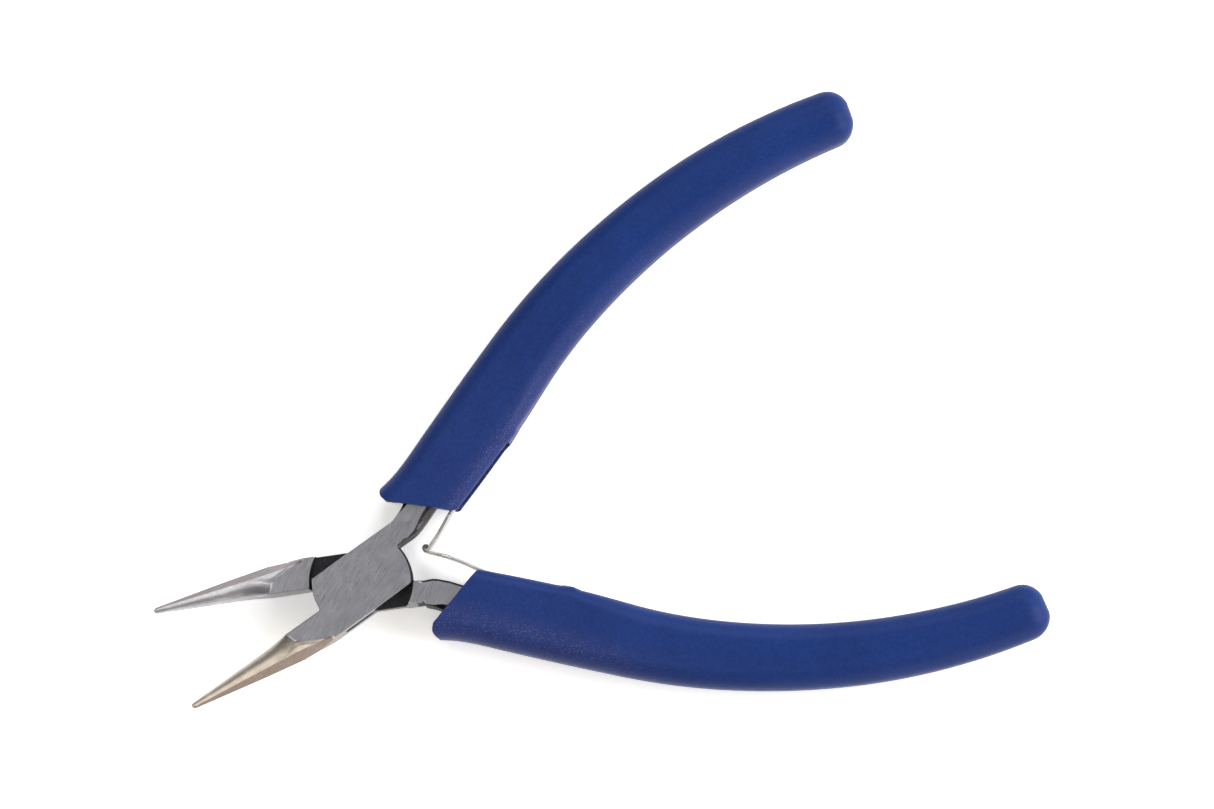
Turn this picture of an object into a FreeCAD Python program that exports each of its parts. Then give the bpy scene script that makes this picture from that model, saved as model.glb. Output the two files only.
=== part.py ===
import FreeCAD, Part
import math
import os

os.makedirs("parts", exist_ok=True)

# Round nose pliers with a box joint, standing open on their hooked leaf springs.
# Millimetres. Origin on the pivot axis at the underside of the box joint, +X
# along the line of the closed jaws towards the tips, +Z up. Each half is drawn
# closed, with its jaw on +Y and its handle on -Y, then turned to the open pose.

# box joint
thick = 6.4
mid = thick / 2
half_width = 4.5
plate_arc_r = 7.35
shoulder_r = 7.7
slot_r = 7.6
tongue_thick = 2.6
tongue_play = 0.05
pin_r = 2.1
pin_play = 0.05

# opening and the asymmetry of the two handles
half_open = 13.4
handle_splay = 1.8

# jaw: the two noses close on y = 0 with a hair line between them
jaw_line_y = 0.03
jaw_start_x = 8.0
jaw_tip_x = 31.0
back_x = 10.0
back_y = 4.65
nose_x = 13.5
root_cone_r = 5.5
nose_cone_r = 3.45
ridge_flat = 0.12
tip_round = 0.3
# stations of the nose: x, cone radius, y of the crease, y of the outer ridge
nose_stations = [
    (8.4, 3.17, 4.0, 4.6),
    (nose_x, 2.72, 3.05, 4.4),
    (20.0, 1.82, 2.1, 3.16),
    (jaw_tip_x, 0.5, 0.6, 0.9),
]

# tang inside the sleeve
tang_thick = 6.0
tang_end_x = -90.0
step_ahead = 0.5

# sleeve
sleeve_thick = 8.6
sleeve_end_thick = 8.0
sleeve_gap = 0.05
line_x = -14.0
line_y = -4.45
line_slope = 20.08
line_straight = 25.4
line_radius = 99.2
# stations along the handle: distance, inner half width, outer half width, corner radius
sleeve_stations = [
    (-6.0, 4.9, 5.6, 3.0),
    (0.0, 5.0, 5.7, 3.0),
    (8.0, 5.3, 5.6, 3.1),
    (17.0, 5.45, 5.55, 3.2),
    (31.0, 5.1, 5.25, 3.3),
    (48.0, 4.9, 4.85, 3.3),
    (66.0, 4.6, 4.6, 3.3),
    (85.0, 4.1, 4.25, 3.2),
]
sleeve_split = 4
sleeve_end_round = 3.4
mouth_inner = (-17.5, -0.3)
mouth_low = (-11.3, -7.05)
lip_front = (-9.85, -8.85)

# leaf spring
leaf_width = 3.0
leaf_thick = 0.5
leaf_root_x = -29.6
leaf_root_y = -5.02
leaf_hinge_x = -28.4
leaf_hook_w = 1.1
eye_len = 2.4
eye_w = 1.7
slit_w = 3.6
slit_end_x = -30.6
rivet_r = 0.7
rivet_head_r = 1.15
rivet_head_h = 0.45
rivet_play = 0.2
rivet_depth = 2.2
# middle line of each leaf, from the root to the tip
box_leaf_line = [(leaf_root_x, leaf_root_y), (-23.6, -3.55), (-16.6, -0.8), (-12.9, 1.1), (-9.6, 2.66)]
tongue_leaf_line = [(leaf_root_x, leaf_root_y), (-23.6, -3.15), (-17.3, 0.0), (-14.5, 1.66), (-8.9, 3.2)]
box_eye_at = (-10.65, 2.2)
hook_from_x = -12.2


def vec(point, z=0.0):
    return FreeCAD.Vector(point[0], point[1], z)


def edge_line(a, b):
    return Part.makeLine(vec(a), vec(b))


def edge_arc(a, b, c):
    return Part.Arc(vec(a), vec(b), vec(c)).toShape()


def edge_curve(points):
    curve = Part.BSplineCurve()
    curve.interpolate([vec(p) for p in points])
    return curve.toShape()


def on_circle(radius, degrees):
    angle = math.radians(degrees)
    return (radius * math.cos(angle), radius * math.sin(angle))


def prism(edges, z_low, z_high):
    wire = Part.Wire(Part.__sortEdges__(edges))
    face = Part.Face(wire)
    solid = face.extrude(FreeCAD.Vector(0, 0, z_high - z_low))
    solid.translate(FreeCAD.Vector(0, 0, z_low))
    return solid


def polygon_prism(points, z_low, z_high):
    count = len(points)
    edges = [edge_line(points[i], points[(i + 1) % count]) for i in range(count)]
    return prism(edges, z_low, z_high)


def disc(radius, z_low, z_high):
    return Part.makeCylinder(radius, z_high - z_low, FreeCAD.Vector(0, 0, z_low))


def joint_block():
    """The block round the pivot, bounded by the two arcs the other half's shoulders clear."""
    low_front = on_circle(plate_arc_r, -math.degrees(math.asin(half_width / plate_arc_r)))
    high_rear = (-low_front[0], half_width)
    fillet_start = on_circle(plate_arc_r, -4.0)
    fillet_mid = (7.42, -0.14)
    fillet_end = (7.6, jaw_line_y)
    rear_end = on_circle(plate_arc_r, 187.0)
    notch_mid = (-7.45, -1.12)
    edges = [
        edge_line((jaw_start_x, back_y), high_rear),
        edge_arc(high_rear, on_circle(plate_arc_r, 165.0), rear_end),
        edge_arc(rear_end, notch_mid, (-7.8, -1.2)),
        edge_line((-7.8, -1.2), (-9.0, -1.2)),
        edge_line((-9.0, -1.2), (-9.0, -half_width - 0.1)),
        edge_line((-9.0, -half_width - 0.1), low_front),
        edge_arc(low_front, on_circle(plate_arc_r, -20.0), fillet_start),
        edge_arc(fillet_start, fillet_mid, fillet_end),
        edge_line(fillet_end, (jaw_start_x, jaw_line_y)),
        edge_line((jaw_start_x, jaw_line_y), (jaw_start_x, back_y)),
    ]
    return prism(edges, 0, thick)


def jaw_root():
    """The thick root of the jaw, turned down to the nose by a cone about the closed line."""
    root = polygon_prism(
        [
            (jaw_start_x - 0.5, 1.0),
            (jaw_start_x, jaw_line_y),
            (nose_x, jaw_line_y),
            (nose_x, 4.4),
            (back_x, back_y),
            (jaw_start_x - 0.5, back_y),
        ],
        0,
        thick,
    )
    growth = (root_cone_r - nose_cone_r) / (nose_x - jaw_start_x)
    length = nose_x - jaw_start_x + 4.0
    cone = Part.makeCone(
        root_cone_r + 2.0 * growth,
        root_cone_r + 2.0 * growth - length * growth,
        length,
        FreeCAD.Vector(jaw_start_x - 2.0, 0, mid),
        FreeCAD.Vector(1, 0, 0),
    )
    return root.common(cone)


def nose_section(x, radius, crease_y, ridge_y):
    """Round on the inside and over the top, with two flats meeting in a ridge at the back."""
    rise = math.sqrt(radius ** 2 - (crease_y - radius) ** 2)
    top = FreeCAD.Vector(x, crease_y + jaw_line_y, mid + rise)
    low = FreeCAD.Vector(x, crease_y + jaw_line_y, mid - rise)
    inner = FreeCAD.Vector(x, jaw_line_y, mid)
    ridge_top = FreeCAD.Vector(x, ridge_y, mid + ridge_flat)
    ridge_low = FreeCAD.Vector(x, ridge_y, mid - ridge_flat)
    return Part.Wire(
        [
            Part.Arc(low, inner, top).toShape(),
            Part.makeLine(top, ridge_top),
            Part.makeLine(ridge_top, ridge_low),
            Part.makeLine(ridge_low, low),
        ]
    )


def jaw_nose():
    nose = Part.makeLoft([nose_section(*row) for row in nose_stations], True, True)
    tip_edges = [e for e in nose.Edges if min(v.X for v in e.Vertexes) > jaw_tip_x - 0.01]
    return nose.makeFillet(tip_round, tip_edges)


def tang_inner(grow):
    points = [(-9.0, -1.2), (-10.5, -1.2), (-12.5, -1.7), (-15.5, -2.8), (-22.0, -4.35), (-29.5, -5.5)]
    points += [(-42.0, -10.1), (-54.0, -13.8), (-66.0, -15.6), (-78.0, -15.75), (tang_end_x, -14.2)]
    return [(x, y + grow) for x, y in points]


def tang_outer(grow):
    points = [(-9.0, -4.6), (-10.5, -5.15), (-12.5, -6.35), (-16.0, -9.1), (-20.0, -11.1), (-30.0, -14.75)]
    points += [(-42.0, -18.7), (-54.0, -21.4), (-66.0, -22.45), (-78.0, -22.15), (tang_end_x, -20.5)]
    return [(x, y - grow) for x, y in points]


def tang(grow, z_low, z_high):
    inner = tang_inner(grow)
    outer = tang_outer(grow)
    inner_end = (inner[-1][0] - grow, inner[-1][1])
    outer_end = (outer[-1][0] - grow, outer[-1][1])
    edges = [
        edge_curve(inner[:-1] + [inner_end]),
        edge_curve(outer[:-1] + [outer_end]),
        edge_line(inner[0], outer[0]),
        edge_line(inner_end, outer_end),
    ]
    return prism(edges, z_low, z_high)


def mouth_region(ahead):
    """Everything in front of the sleeve's slanted mouth and rounded lip, moved ahead."""
    corner = (mouth_inner[0] + ahead, mouth_inner[1] + ahead)
    low = (mouth_low[0] + ahead, mouth_low[1] + ahead)
    front = (lip_front[0] + ahead, lip_front[1])
    under = (lip_front[0] - 0.6 + ahead, lip_front[1] - 1.3)
    far = (12.0, -14.0)
    edges = [
        edge_line((corner[0] - 8.0, corner[1] + 8.4), corner),
        edge_line(corner, low),
        edge_arc(low, (-10.15 + ahead, -7.9), front),
        edge_arc(front, (lip_front[0] - 0.14 + ahead, lip_front[1] - 0.72), under),
        edge_line(under, (under[0], far[1])),
        edge_line((under[0], far[1]), far),
        edge_line(far, (far[0], 14.0)),
        edge_line((far[0], 14.0), (corner[0] - 8.0, 14.0)),
        edge_line((corner[0] - 8.0, 14.0), (corner[0] - 8.0, corner[1] + 8.4)),
    ]
    return prism(edges, -8.0, thick + 8.0)


def steel_handle(splay):
    """Ground shank outside the sleeve and the thinner tang inside it."""
    core = tang(0.0, mid - tang_thick / 2, mid + tang_thick / 2)
    shank = tang(0.0, 0, thick).common(mouth_region(step_ahead))
    if splay:
        for shape in (core, shank):
            shape.rotate(FreeCAD.Vector(0, 0, 0), FreeCAD.Vector(0, 0, 1), splay)
    return core.fuse(shank)


def half_blank(splay):
    """One half at full thickness, closed pose."""
    body = joint_block().fuse([jaw_root(), jaw_nose(), steel_handle(splay)])
    return body.removeSplitter()


def rivet_bore(line, depth, radius):
    """Round hole through a leaf's root or into the tang, square to the leaf."""
    spot, along, out = leaf_hinge(line)
    start = spot - out * depth
    return Part.makeCylinder(radius, depth + 2.0, start, out)


def box_half_closed():
    body = half_blank(0.0)
    slot = disc(slot_r, mid - tongue_thick / 2 - tongue_play, mid + tongue_thick / 2 + tongue_play)
    body = body.cut(slot)
    body = body.cut(disc(pin_r, -1, thick + 1))
    return body.cut(rivet_bore(box_leaf_line, rivet_depth, rivet_r))


def tongue_half_closed():
    body = half_blank(handle_splay)
    above = disc(shoulder_r, mid + tongue_thick / 2, thick + 1)
    below = disc(shoulder_r, -1, mid - tongue_thick / 2)
    body = body.cut([above, below])
    body = body.cut(disc(pin_r + pin_play, -1, thick + 1))
    bore = rivet_bore(tongue_leaf_line, rivet_depth, rivet_r)
    bore.rotate(FreeCAD.Vector(0, 0, 0), FreeCAD.Vector(0, 0, 1), handle_splay)
    return body.cut(bore)


def joint_pin():
    return disc(pin_r, 0, thick)


def handle_frame(distance):
    """Point, heading and outward direction on the handle's centre line."""
    slope = math.radians(line_slope)
    straight = min(distance, line_straight)
    x = line_x - straight * math.cos(slope)
    y = line_y - straight * math.sin(slope)
    heading = slope
    if distance > line_straight:
        turned = (distance - line_straight) / line_radius
        heading = slope - turned
        x = x - line_radius * (math.sin(slope) - math.sin(heading))
        y = y - line_radius * (math.cos(heading) - math.cos(slope))
    outward = FreeCAD.Vector(math.sin(heading), -math.cos(heading), 0)
    return FreeCAD.Vector(x, y, mid), outward


def sleeve_section(distance, inner_w, outer_w, corner, height):
    """Rounded rectangle square to the centre line."""
    centre, outward = handle_frame(distance)
    up = FreeCAD.Vector(0, 0, 1)
    high = height / 2
    bulge = corner * (1 - math.sqrt(0.5))

    def at(across, rise):
        return centre + outward * across + up * rise

    edges = []
    corners = [(outer_w, 1, 1), (outer_w, 1, -1), (-inner_w, -1, -1), (-inner_w, -1, 1)]
    starts = []
    for across, side, level in corners:
        flat_end = at(across - side * corner, level * high)
        bend = at(across - side * bulge, level * (high - bulge))
        wall_end = at(across, level * (high - corner))
        starts.append((flat_end, bend, wall_end))
    for i in range(4):
        flat_end, bend, wall_end = starts[i]
        following = starts[(i + 1) % 4]
        if i % 2 == 0:
            edges.append(Part.Arc(flat_end, bend, wall_end).toShape())
            edges.append(Part.makeLine(wall_end, following[2]))
        else:
            edges.append(Part.Arc(wall_end, bend, flat_end).toShape())
            edges.append(Part.makeLine(flat_end, following[0]))
    return Part.Wire(edges)


def sleeve_body():
    last, inner_w, outer_w, corner = sleeve_stations[-1]
    wires = []
    for station in sleeve_stations:
        share = max(0.0, station[0]) / last
        height = sleeve_thick + (sleeve_end_thick - sleeve_thick) * share
        wires.append(sleeve_section(*station, height))
    front = Part.makeLoft(wires[:sleeve_split + 1], True, False)
    rear = Part.makeLoft(wires[sleeve_split:], True, False)
    rings = []
    for degrees in (0.0, 28.0, 54.0, 78.0):
        angle = math.radians(degrees)
        inset = sleeve_end_round * (1 - math.cos(angle))
        along = last + sleeve_end_round * math.sin(angle)
        height = sleeve_end_thick - 2 * inset
        rings.append(sleeve_section(along, inner_w - inset, outer_w - inset, corner - inset, height))
    return front.fuse([rear, Part.makeLoft(rings, True, False)])


def sleeve_closed():
    body = sleeve_body()
    body = body.cut(mouth_region(0.0))
    low = mid - tang_thick / 2 - sleeve_gap
    high = mid + tang_thick / 2 + sleeve_gap
    body = body.cut(tang(sleeve_gap, low, high))
    slit = polygon_prism(
        [(slit_end_x, -2.6), (slit_end_x, -8.0), (-14.5, -4.0), (-9.0, -2.5), (-9.0, 6.0), (-17.5, 3.0)],
        mid - slit_w / 2,
        mid + slit_w / 2,
    )
    return body.cut(slit)


def leaf_hinge(line):
    """Where the rivet holds a leaf: point on its middle line, its heading, and outward."""
    a = line[0]
    b = line[1]
    heading = FreeCAD.Vector(b[0] - a[0], b[1] - a[1], 0)
    heading.normalize()
    out = FreeCAD.Vector(-heading.y, heading.x, 0)
    t = (leaf_hinge_x - a[0]) / (b[0] - a[0])
    spot = FreeCAD.Vector(leaf_hinge_x, a[1] + t * (b[1] - a[1]), mid)
    return spot, heading, out


def leaf_strip(line, half_w):
    """Strip of constant thickness round a smooth middle line."""
    curve = Part.BSplineCurve()
    curve.interpolate([vec(p) for p in line])
    steps = 8
    first = curve.FirstParameter
    last = curve.LastParameter
    upper = []
    lower = []
    for i in range(steps + 1):
        t = first + (last - first) * i / steps
        point = curve.value(t)
        along = curve.tangent(t)[0]
        out = FreeCAD.Vector(-along.y, along.x, 0)
        above = point + out * (leaf_thick / 2)
        below = point - out * (leaf_thick / 2)
        upper.append((above.x, above.y))
        lower.append((below.x, below.y))
    edges = [
        edge_curve(upper),
        edge_curve(lower),
        edge_line(upper[0], lower[0]),
        edge_line(upper[-1], lower[-1]),
    ]
    return prism(edges, mid - half_w, mid + half_w)


def box_leaf_closed():
    """Leaf with an eye near its tip for the other leaf's narrow end."""
    leaf = leaf_strip(box_leaf_line, leaf_width / 2)
    eye = Part.makeBox(eye_len, 4.0, eye_w, FreeCAD.Vector(-eye_len / 2, -2.0, -eye_w / 2))
    a = box_leaf_line[-2]
    b = box_leaf_line[-1]
    lean = math.degrees(math.atan2(b[1] - a[1], b[0] - a[0]))
    eye.rotate(FreeCAD.Vector(0, 0, 0), FreeCAD.Vector(0, 0, 1), lean)
    eye.translate(FreeCAD.Vector(box_eye_at[0], box_eye_at[1], mid))
    leaf = leaf.cut(eye)
    return leaf.cut(rivet_bore(box_leaf_line, 1.0, rivet_r + rivet_play))


def tongue_leaf_closed():
    """Leaf whose end narrows to pass through the other leaf's eye."""
    leaf = leaf_strip(tongue_leaf_line, leaf_width / 2)
    side = (leaf_width - leaf_hook_w) / 2
    for z_low in (mid - leaf_width / 2 - 0.1, mid + leaf_hook_w / 2):
        block = Part.makeBox(8.0, 8.0, side + 0.1, FreeCAD.Vector(hook_from_x, -2.0, z_low))
        leaf = leaf.cut(block)
    leaf = leaf.cut(rivet_bore(tongue_leaf_line, 1.0, rivet_r + rivet_play))
    leaf.rotate(FreeCAD.Vector(0, 0, 0), FreeCAD.Vector(0, 0, 1), handle_splay)
    return leaf


def spring_rivet(line, splay):
    """Rivet whose head stands just off the leaf and whose shank fills the tang's bore."""
    spot, _, out = leaf_hinge(line)
    head_at = spot + out * (leaf_thick / 2 + rivet_play)
    shank = Part.makeCylinder(rivet_r, rivet_depth + leaf_thick / 2 + rivet_play, spot - out * rivet_depth, out)
    head = Part.makeCone(rivet_head_r, rivet_head_r * 0.6, rivet_head_h, head_at, out)
    rivet = shank.fuse(head).removeSplitter()
    rivet.rotate(FreeCAD.Vector(0, 0, 0), FreeCAD.Vector(0, 0, 1), splay)
    return rivet


def to_box_side(shape):
    placed = shape.copy()
    placed.rotate(FreeCAD.Vector(0, 0, 0), FreeCAD.Vector(0, 0, 1), half_open)
    return placed


def to_tongue_side(shape):
    placed = shape.mirror(FreeCAD.Vector(0, 0, 0), FreeCAD.Vector(0, 1, 0))
    placed.rotate(FreeCAD.Vector(0, 0, 0), FreeCAD.Vector(0, 0, 1), -half_open)
    return placed


def save(name, shape):
    solids = shape.Solids
    if len(solids) != 1:
        raise ValueError("%s has %d solids" % (name, len(solids)))
    solids[0].exportStep("parts/" + name + ".step")


sleeve = sleeve_closed()
splayed_sleeve = sleeve.copy()
splayed_sleeve.rotate(FreeCAD.Vector(0, 0, 0), FreeCAD.Vector(0, 0, 1), handle_splay)

save("box_half", to_box_side(box_half_closed()))
save("tongue_half", to_tongue_side(tongue_half_closed()))
save("joint_pin", joint_pin())
save("box_handle_sleeve", to_box_side(sleeve))
save("tongue_handle_sleeve", to_tongue_side(splayed_sleeve))
save("box_leaf_spring", to_box_side(box_leaf_closed()))
save("tongue_leaf_spring", to_tongue_side(tongue_leaf_closed()))
save("box_spring_rivet", to_box_side(spring_rivet(box_leaf_line, 0.0)))
save("tongue_spring_rivet", to_tongue_side(spring_rivet(tongue_leaf_line, handle_splay)))
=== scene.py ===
import math

import bmesh
import bpy
import numpy as np
from mathutils import Matrix, Vector, geometry


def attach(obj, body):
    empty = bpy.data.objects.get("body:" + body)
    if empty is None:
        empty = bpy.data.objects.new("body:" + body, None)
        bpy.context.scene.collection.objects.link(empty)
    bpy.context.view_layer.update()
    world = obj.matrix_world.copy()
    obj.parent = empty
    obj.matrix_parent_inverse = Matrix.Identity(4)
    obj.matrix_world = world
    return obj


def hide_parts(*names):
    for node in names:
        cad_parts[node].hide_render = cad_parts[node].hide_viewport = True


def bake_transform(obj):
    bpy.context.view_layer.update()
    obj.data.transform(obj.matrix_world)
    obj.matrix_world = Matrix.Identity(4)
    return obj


# Box-joint round nose pliers. Lengths are millimetres in each half's closed
# frame (jaw on +Y, handle on -Y, pivot at the origin, middle plane z = MID)
# and are turned into metres in the row frame when a mesh is made.

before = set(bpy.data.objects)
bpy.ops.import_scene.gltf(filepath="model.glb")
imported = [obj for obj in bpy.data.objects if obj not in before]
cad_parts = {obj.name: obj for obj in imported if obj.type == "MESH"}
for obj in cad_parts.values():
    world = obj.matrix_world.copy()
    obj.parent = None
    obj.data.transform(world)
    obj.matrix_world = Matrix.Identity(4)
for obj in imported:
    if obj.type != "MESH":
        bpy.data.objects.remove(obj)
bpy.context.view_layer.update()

# The halves
MID = 3.2  # middle plane, and half the thickness of the joint
HALF_OPEN = 13.4  # each half is turned this far from closed, in degrees
HANDLE_SPLAY = {"box": 0.0, "tongue": 1.8}  # how much further out the handle is set, in degrees
HALF_W = 4.5  # half width of the joint
PLATE_R = 7.35  # ends of the joint's plates
SLOT_R = 7.6
SLOT_HALF_HEIGHT = 1.35
TONGUE_H = 1.3  # half thickness of the tongue
WEB_R = 7.57  # rear edge of the tongue
TONGUE_R = 7.66  # foot of the step from the tongue up to full thickness
SHOULDER_R = 7.7  # top of that step
PIN_HOLE_R = {"box": 2.11, "tongue": 2.15}
JAW_X = 8.0  # the jaw begins here, in front of the joint
LINE_Y = 0.03  # where the closed noses meet
NOSE_X = 13.5
TIP_X = 31.0
# The nose at x: radius of the round side, y of the crease and y of the outer ridge
NOSE = [(8.4, 3.17, 4.0, 4.6), (NOSE_X, 2.72, 3.05, 4.4), (20.0, 1.82, 2.1, 3.16), (TIP_X, 0.5, 0.6, 0.9)]
EDGE_R = 0.12  # rounding of the steel's edges
RINGS = (0.02, 0.055, 0.12, 0.16, 0.32, 0.5)  # rows of points inside the outline
STRIP_BACK = -19.0  # the unground strips are hidden by the sleeves behind this x
SHARP = math.radians(35)

# How dark the steel is made: from 0, ground bright, through brown to 1, black. The black is oxide that the
# steel keeps; the two browns below are painted shade.
# Painted shade: brown on the ground walls and along their rims
WALL_PAINTED_SHADE = 0.2
# Painted shade: brown on the nose's steep outer facets
FACET_PAINTED_SHADE = 0.33
GREY_BAND = 0.6
ARC_BLACK = 0.85
UNGROUND = 0.95


# ---------------------------------------------------------------- small tools
def spin(points, degrees):
    """Turns plan points about the pivot."""
    a = math.radians(degrees)
    c, s = math.cos(a), math.sin(a)
    p = np.asarray(points, float)
    return np.stack([c * p[..., 0] - s * p[..., 1], s * p[..., 0] + c * p[..., 1]], -1)


def to_row(points, side, splay=0.0):
    """Closed frame, in mm, to the row frame, in metres; the tongue side is mirrored."""
    p = np.array(points, float)
    xy = spin(p[:, :2], splay)
    if side == "tongue":
        xy[:, 1] *= -1
        xy = spin(xy, -HALF_OPEN)
    else:
        xy = spin(xy, HALF_OPEN)
    return np.column_stack([xy, p[:, 2]]) * 0.001


def spline(points, count):
    """Smooth curve through a few points, sampled evenly by length."""
    p = np.array(points, float)
    d = np.r_[0, np.cumsum(np.linalg.norm(np.diff(p, axis=0), axis=1))]
    n = len(p)
    slopes = np.zeros_like(p)
    step = np.diff(d)
    chord = np.diff(p, axis=0) / step[:, None]
    slopes[0], slopes[-1] = chord[0], chord[-1]
    for i in range(1, n - 1):
        w = step[i] / (step[i] + step[i - 1])
        slopes[i] = chord[i - 1] * w + chord[i] * (1 - w)
    out = []
    for t in np.linspace(0, d[-1], count):
        i = min(max(np.searchsorted(d, t, side="right") - 1, 0), n - 2)
        h = step[i]
        u = (t - d[i]) / h
        a = (1 + 2 * u) * (1 - u) ** 2
        b = u * (1 - u) ** 2
        c = u * u * (3 - 2 * u)
        e = u * u * (u - 1)
        out.append(a * p[i] + b * h * slopes[i] + c * p[i + 1] + e * h * slopes[i + 1])
    return np.array(out)


def run(a, b, spacing):
    """Evenly spaced points from a towards b, without b."""
    n = max(1, int(round(math.dist(a, b) / spacing)))
    return [tuple(np.array(a) + (np.array(b) - np.array(a)) * i / n) for i in range(n)]


def arc(radius, start, end, step=2.5):
    """Points on a circle about the pivot, both ends included; angles in degrees."""
    n = max(2, int(abs(end - start) / step))
    angles = np.radians(np.linspace(start, end, n + 1))
    return [(radius * math.cos(a), radius * math.sin(a)) for a in angles]


def smooth(t, a, b):
    """Eases from 0 at a to 1 at b."""
    t = np.clip((t - a) / (b - a), 0, 1)
    return t * t * (3 - 2 * t)


def link(name, mesh):
    obj = bpy.data.objects.new(name, mesh)
    bpy.context.scene.collection.objects.link(obj)
    return obj


def make_mesh(name, points, faces, attributes=None, sharp=35):
    """Smooth-shaded mesh with outward faces; attributes hold one value for each point."""
    mesh = bpy.data.meshes.new(name)
    mesh.from_pydata([tuple(p) for p in points], [], faces)
    mesh.validate()
    for key, values in (attributes or {}).items():
        layer = mesh.attributes.new(key, "FLOAT", "POINT")
        layer.data.foreach_set("value", np.asarray(values, np.float32))
    bm = bmesh.new()
    bm.from_mesh(mesh)
    bmesh.ops.recalc_face_normals(bm, faces=bm.faces)
    bm.to_mesh(mesh)
    bm.free()
    mesh.shade_smooth()
    if sharp:
        mesh.set_sharp_from_angle(angle=math.radians(sharp))
    return mesh


# ------------------------------------------------------- steel halves: relief
def nose_at(x):
    """Radius, crease and ridge of the nose at x."""
    xs = [row[0] for row in NOSE]
    return [np.interp(x, xs, [row[k] for row in NOSE]) for k in (1, 2, 3)]


def root_radius(x):
    """The jaw's root is a cone about the x axis, between the joint and the nose."""
    wide, narrow = 5.5, 3.45
    return wide - (x - JAW_X) * (wide - narrow) / (NOSE_X - JAW_X)


def nose_height(x, y):
    """Half height of the nose: round towards the other jaw, a flat facet from crease to ridge."""
    r, crease, ridge = nose_at(x)
    ridge_height = 0.12
    y = np.asarray(y, float)
    round_part = np.sqrt(np.maximum(r ** 2 - (np.clip(y, LINE_Y, None) - LINE_Y - r) ** 2, 0))
    at_crease = np.sqrt(np.maximum(r ** 2 - (crease - r) ** 2, 0))
    along = (y - crease) / np.maximum(ridge - crease, 0.05)
    flat_part = at_crease + along * (ridge_height - at_crease)
    return np.where(y < crease, round_part, flat_part)


def flat_end(y):
    """Where the flat face stops along the jaw; it leans back from the meeting line."""
    return 13.75 - 0.45 * np.clip(y, 0, 1.7)


def jaw_height(x, y):
    """Half height of the jaw; the root runs out into the nose over a short length."""
    run_out_length = 4.6
    x = np.asarray(x, float)
    y = np.asarray(y, float)
    radius = root_radius(np.minimum(x, flat_end(y)))
    root = np.minimum(MID, np.sqrt(np.maximum(radius ** 2 - y ** 2, 0)))
    nose = nose_height(x, y)
    run_out = np.clip((x - flat_end(y)) / run_out_length, 0, 1)
    return nose + np.maximum(root - nose, 0) * (1 - run_out) ** 2


# Edges of the shank beside the joint, and of the tang inside the sleeve
SHANK_INNER = {
    "box": [(-9.0, -1.2), (-10.5, -1.2), (-12.5, -1.7), (-15.5, -2.8), (-22.0, -4.35), (-29.5, -5.5)],
    "tongue": [(-9.0, -1.05), (-10.5, -0.95), (-12.5, -1.45), (-15.5, -2.7), (-22.0, -4.35), (-29.5, -5.5)],
}
TANG_INNER = [(-42.0, -10.1), (-54.0, -13.8), (-66.0, -15.6), (-78.0, -15.75), (-90.0, -14.2)]
SHANK_OUTER = [
    (-9.0, -4.6), (-10.5, -5.15), (-12.5, -6.35), (-16.0, -9.1), (-20.0, -11.1), (-30.0, -14.75),
]
TANG_OUTER = [(-42.0, -18.7), (-54.0, -21.4), (-66.0, -22.45), (-78.0, -22.15), (-90.0, -20.5)]
# Where the tongue or the plate turns into the inner edge of the shank
NOTCH = {
    "box": [(-7.43, -1.06), (-7.6, -1.17), (-7.85, -1.2), (-8.2, -1.2)],
    "tongue": [(-7.62, -1.06), (-7.72, -1.16), (-7.85, -1.2), (-8.2, -1.2)],
}
TIP = [(30.6, LINE_Y), (30.86, 0.12), (TIP_X, 0.34), (TIP_X, 0.58), (30.88, 0.8), (30.66, 0.93)]


def half_outline(side):
    """Closed plan outline, counter-clockwise, with what each point belongs to."""
    splay = HANDLE_SPLAY[side]
    points = []
    kinds = []

    def add(items, kind):
        for item in items:
            points.append((float(item[0]), float(item[1])))
            kinds.append(kind)

    low = math.degrees(math.asin(HALF_W / PLATE_R))
    rear_r = WEB_R if side == "tongue" else PLATE_R
    rear = 180 - math.degrees(math.asin(HALF_W / rear_r))
    add(run((7.6, LINE_Y), TIP[0], 0.25), "nose")
    add(TIP, "tip")
    add(run((30.4, 0.99), (20.0, 3.16), 0.25), "nose")
    add(run((20.0, 3.16), (NOSE_X, 4.4), 0.25), "nose")
    add(run((NOSE_X, 4.4), (10.0, 4.65), 0.25), "side")
    add(run((10.0, 4.65), (rear_r * math.cos(math.radians(rear)), HALF_W), 0.4), "side")
    add(arc(rear_r, rear, 187.0), "arc")
    add(NOTCH[side], "arc")
    inner = spline(SHANK_INNER[side] + TANG_INNER, 400)
    outer = spline(SHANK_OUTER + TANG_OUTER, 400)
    sparse = np.r_[0:60:1, 60:110:2, 110:400:9, 399]
    inner = inner[sparse]
    outer = outer[sparse][::-1]
    add(spin(inner, splay), "inner")
    add(spin(outer, splay), "outer")
    add(run((-8.7, -HALF_W - 0.04), (5.81, -HALF_W), 0.4), "side")
    add(arc(PLATE_R, -low, -4.0), "arc")
    add([(7.37, -0.3), (7.43, -0.13), (7.52, -0.02)], "arc")
    return np.array(points), kinds


def inward(points):
    """The way in from each point of the outline; longer at corners, so that rows stay parallel."""
    ahead = np.roll(points, -1, 0) - points
    behind = points - np.roll(points, 1, 0)
    ahead /= np.linalg.norm(ahead, axis=1)[:, None]
    behind /= np.linalg.norm(behind, axis=1)[:, None]
    t = ahead + behind
    t /= np.linalg.norm(t, axis=1)[:, None]
    n = np.stack([-t[:, 1], t[:, 0]], -1)
    stretch = 1 / np.clip((n * np.stack([-ahead[:, 1], ahead[:, 0]], -1)).sum(1), 0.6, 1)
    return n * stretch[:, None]


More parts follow.
